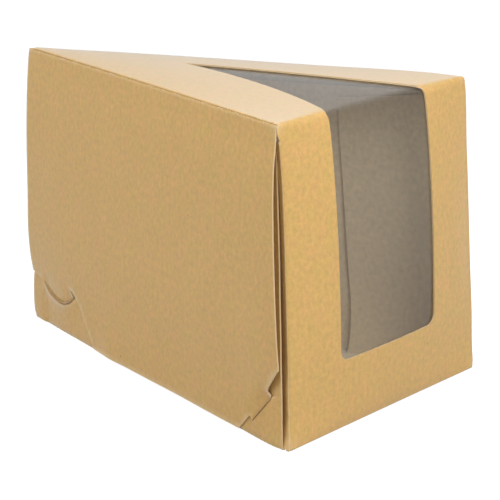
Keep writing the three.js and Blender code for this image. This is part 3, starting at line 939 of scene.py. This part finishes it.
def kraft_nodes(name, base, pale, fleck_amount):
    n = Nodes(bpy.data.materials.new(name))
    flat = n.node("ShaderNodeAttribute", {"attribute_name": "flat"}).outputs["Vector"]
    tone = n.node("ShaderNodeAttribute", {"attribute_name": "tone"}).outputs["Fac"]

    # cloudy pulp, streaks of the machine direction and single fibres
    cloud = n.noise(n.stretch(flat, (1.0, 0.6, 1.0)), 0.09, 3.0, 0.6)
    mottle = n.noise(n.stretch(flat, (1.0, 0.8, 1.0)), 0.8, 4.0, 0.66)
    streak = n.noise(n.stretch(flat, (1.0, 0.08, 1.0)), 1.1, 2.0, 0.5)
    fibre_a = n.noise(n.stretch(flat, (1.0, 0.12, 1.0)), 7.0, 1.0, 0.4)
    fibre_b = n.noise(n.stretch(flat, (0.2, 1.0, 1.0)), 5.0, 1.0, 0.4)
    value = n.math("ADD", n.math("MULTIPLY", n.math("SUBTRACT", mottle, 0.5), 0.6),
                   n.math("MULTIPLY", n.math("SUBTRACT", streak, 0.5), 0.05))
    fibres = n.math("SUBTRACT", n.math("MAXIMUM", fibre_a, fibre_b), 0.58)
    value = n.math("ADD", value, n.math("MULTIPLY", fibres, 0.16))
    value = n.math("ADD", value, n.math("MULTIPLY", n.math("SUBTRACT", cloud, 0.5), 0.10))
    light = n.math("ADD", 1.0, value)
    hue = n.ramp(n.noise(flat, 0.2, 3.0, 0.6), (0.35, 0.0), (0.65, 1.0))
    warm = n.mix(hue, tinted(base, 0.97, 1.01, 0.96), tinted(base, 1.03, 0.985, 1.06))

    # the inside of the box is a paler, greyer face
    inner = n.node("ShaderNodeSeparateXYZ", {}, Vector=flat).outputs["Z"]
    warm = n.mix(n.ramp(inner, (INNER_MARK - 10, 0.0), (INNER_MARK - 6, 1.0)), warm, INNER_FACE)
    grey = n.node("ShaderNodeCombineColor", {}, i0=light, i1=light, i2=light).outputs[0]
    body = n.mix(1.0, warm, grey, "MULTIPLY")

    # sparse dark flecks of bark
    spread = n.stretch(flat, (1.0, 0.8, 1.0))
    cells = n.node("ShaderNodeTexVoronoi", {"feature": "F1"}, Vector=spread, Scale=0.11)
    chance = n.node("ShaderNodeSeparateColor", {}, i0=cells.outputs["Color"]).outputs[0]
    size = n.ramp(chance, (0.72, 0.0), (1.0, 0.035))
    fleck = n.math("MULTIPLY", n.math("LESS_THAN", cells.outputs["Distance"], size), fleck_amount)
    body = n.mix(fleck, body, FLECK)

    # paler where the tone is above zero, which is partly real wear at corners and creases and partly painted
    # highlight; darker where it is below zero, which is painted shade in creases, slits and gaps
    patchy = n.ramp(n.noise(flat, 0.9, 2.0, 0.6), (0.3, 0.55), (0.7, 1.15))
    wear_and_painted_light = n.math("MULTIPLY", n.math("MAXIMUM", tone, 0.0), patchy, clamp_it=True)
    painted_shade_amount = n.math("MAXIMUM", n.math("MULTIPLY", tone, -1.0), 0.0)
    painted_shade = n.math("MULTIPLY", painted_shade_amount, patchy, clamp_it=True)
    # paler colour for real wear and for painted highlights
    body = n.mix(n.math("MULTIPLY", wear_and_painted_light, 0.55), body, pale)
    body = n.mix(n.math("MULTIPLY", painted_shade, 0.62), body, PAINTED_SHADE_COLOUR)

    rough = n.ramp(mottle, (0.3, 0.38), (0.7, 0.5))
    bumps = n.math("ADD", mottle, n.math("MULTIPLY", fibres, 0.8))
    bump = n.node("ShaderNodeBump", {}, Strength=0.22, Distance=0.00006, Height=bumps)

    # pale sheen where the card is seen at a low angle
    facing = n.node("ShaderNodeLayerWeight", {}, Blend=0.5).outputs["Facing"]
    body = n.mix(n.ramp(facing, (0.56, 0.0), (0.80, 0.32)), body, LOW_SHEEN)
    shader = n.node(
        "ShaderNodeBsdfPrincipled", {}, Base_Color=body, Roughness=rough, Normal=bump.outputs[0],
        IOR=1.42, Sheen_Weight=0.7, Sheen_Roughness=0.25,
    )
    return n.finish(shader.outputs[0])


kraft = kraft_nodes("kraft_face", KRAFT, PALE_FACE, 0.55)
kraft_cut = kraft_nodes("kraft_cut_edge", KRAFT_CUT, PALE_CUT, 0.2)


def clear_film():
    n = Nodes(bpy.data.materials.new("clear_film"))
    flat = n.node("ShaderNodeAttribute", {"attribute_name": "flat"}).outputs["Vector"]
    ripple = n.noise(n.stretch(flat, (1.0, 0.35, 1.0)), 0.05, 2.0, 0.5)
    bump = n.node("ShaderNodeBump", {}, Strength=0.25, Distance=0.0006, Height=ripple)
    smear = n.noise(flat, 0.35, 3.0, 0.6)
    gloss = n.node("ShaderNodeBsdfGlossy", {}, Color=WHITE, Roughness=0.04, Normal=bump.outputs[0])
    clear = n.node("ShaderNodeBsdfTransparent", {}, Color=FILM_TINT)
    haze = n.node("ShaderNodeBsdfDiffuse", {}, Color=FILM_HAZE, Normal=bump.outputs[0])
    facing = n.node("ShaderNodeLayerWeight", {}, Blend=0.5, Normal=bump.outputs[0]).outputs["Facing"]
    shine = n.math("ADD", 0.02, n.math("MULTIPLY", n.math("POWER", facing, 5.0), 0.36))
    shiny = n.node("ShaderNodeMixShader", {}, i0=shine, i1=clear.outputs[0], i2=gloss.outputs[0])
    dust = n.ramp(smear, (0.3, 0.0), (0.8, 0.02))
    dusty = n.node("ShaderNodeMixShader", {}, i0=dust, i1=shiny.outputs[0], i2=haze.outputs[0])
    return n.finish(dusty.outputs[0])


film_material = clear_film()
card_materials = [kraft, kraft_cut]

panels = panel_sheet.build("carton_panels", card_materials)
lid_walls = lid_sheet.build("lid_walls", card_materials)
tray_walls = tray_sheet.build("tray_walls", card_materials)
film = film_sheet.build("window_film", [film_material])

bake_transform(panels)
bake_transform(film)
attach(lid_walls, "lid")
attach(tray_walls, "base")
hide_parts("carton_base", "carton_lid")
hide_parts("carton_lid")
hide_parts("carton_base")
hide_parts("window_film_end", "window_film_top")

# Floor, which shows white to the camera and keeps the shadow
FLOOR_HALF = 6
FLOOR_LEVEL = -0.0001
FLOOR_GREY = (0.45, 0.45, 0.45, 1)
FLOOR_GLOW = 0.86
WORLD_LIGHT = 0.34

floor_corners = [
    (x * FLOOR_HALF, y * FLOOR_HALF, FLOOR_LEVEL) for x, y in ((-1, -1), (1, -1), (1, 1), (-1, 1))
]
floor_mesh = bpy.data.meshes.new("floor")
floor_mesh.from_pydata(floor_corners, [], [(0, 1, 2, 3)])
floor = bpy.data.objects.new("floor", floor_mesh)
scene.collection.objects.link(floor)
nodes = Nodes(bpy.data.materials.new("floor"))
plain = nodes.node("ShaderNodeBsdfDiffuse", {}, Color=FLOOR_GREY)
strength = nodes.math("MULTIPLY", nodes.seen(), FLOOR_GLOW)
glow = nodes.node("ShaderNodeEmission", {}, Color=WHITE, Strength=strength)
both_parts = nodes.node("ShaderNodeAddShader", {}, i0=plain.outputs[0], i1=glow.outputs[0])
floor_mesh.materials.append(nodes.finish(both_parts.outputs[0]))

# World: soft even light, white where it is seen
world = bpy.data.worlds.new("studio")
scene.world = world
nodes = Nodes(world)
strength = nodes.ramp(nodes.seen(), (0.0, WORLD_LIGHT), (1.0, 1.0))
background = nodes.node("ShaderNodeBackground", {}, Color=WHITE, Strength=strength)
nodes.finish(background.outputs[0], "ShaderNodeOutputWorld")

# Lamps near the box: name, place, power and size
LAMP_TARGET = Vector((0, -0.03, 0.04))
LAMPS = [("key", (-0.06, -0.29, 0.30), 1.03, 0.25), ("fill", (-0.26, 0.12, 0.26), 0.55, 0.3)]


def near_lamp(name, place, power, size):
    lamp = bpy.data.lights.new(name, "AREA")
    lamp.shape = "SQUARE"
    lamp.size = size
    lamp.energy = power
    holder = bpy.data.objects.new(name, lamp)
    holder.location = place
    holder.visible_camera = False
    holder.rotation_mode = "QUATERNION"
    holder.rotation_quaternion = (Vector(place) - LAMP_TARGET).to_track_quat("Z", "Y")
    scene.collection.objects.link(holder)


for lamp_values in LAMPS:
    near_lamp(*lamp_values)

# Camera
CAMERA_PLACE = (-0.40071, -0.34176, 0.17680)
SENSOR_WIDTH, FOCAL_LENGTH = 36, 144.457
NEAREST, FARTHEST = 0.05, 50
azimuth, elevation = math.radians(-51.114), math.radians(15.494)
back = Vector((
    math.sin(azimuth) * math.cos(elevation), -math.cos(azimuth) * math.cos(elevation), math.sin(elevation),
))
lens = bpy.data.cameras.new("camera")
lens.sensor_width = SENSOR_WIDTH
lens.lens = FOCAL_LENGTH
lens.clip_start, lens.clip_end = NEAREST, FARTHEST
camera = bpy.data.objects.new("camera", lens)
camera.rotation_mode = "QUATERNION"
camera.location = CAMERA_PLACE
camera.rotation_quaternion = (-back).to_track_quat("-Z", "Y")
scene.collection.objects.link(camera)
scene.camera = camera
scene.view_settings.view_transform = "Standard"
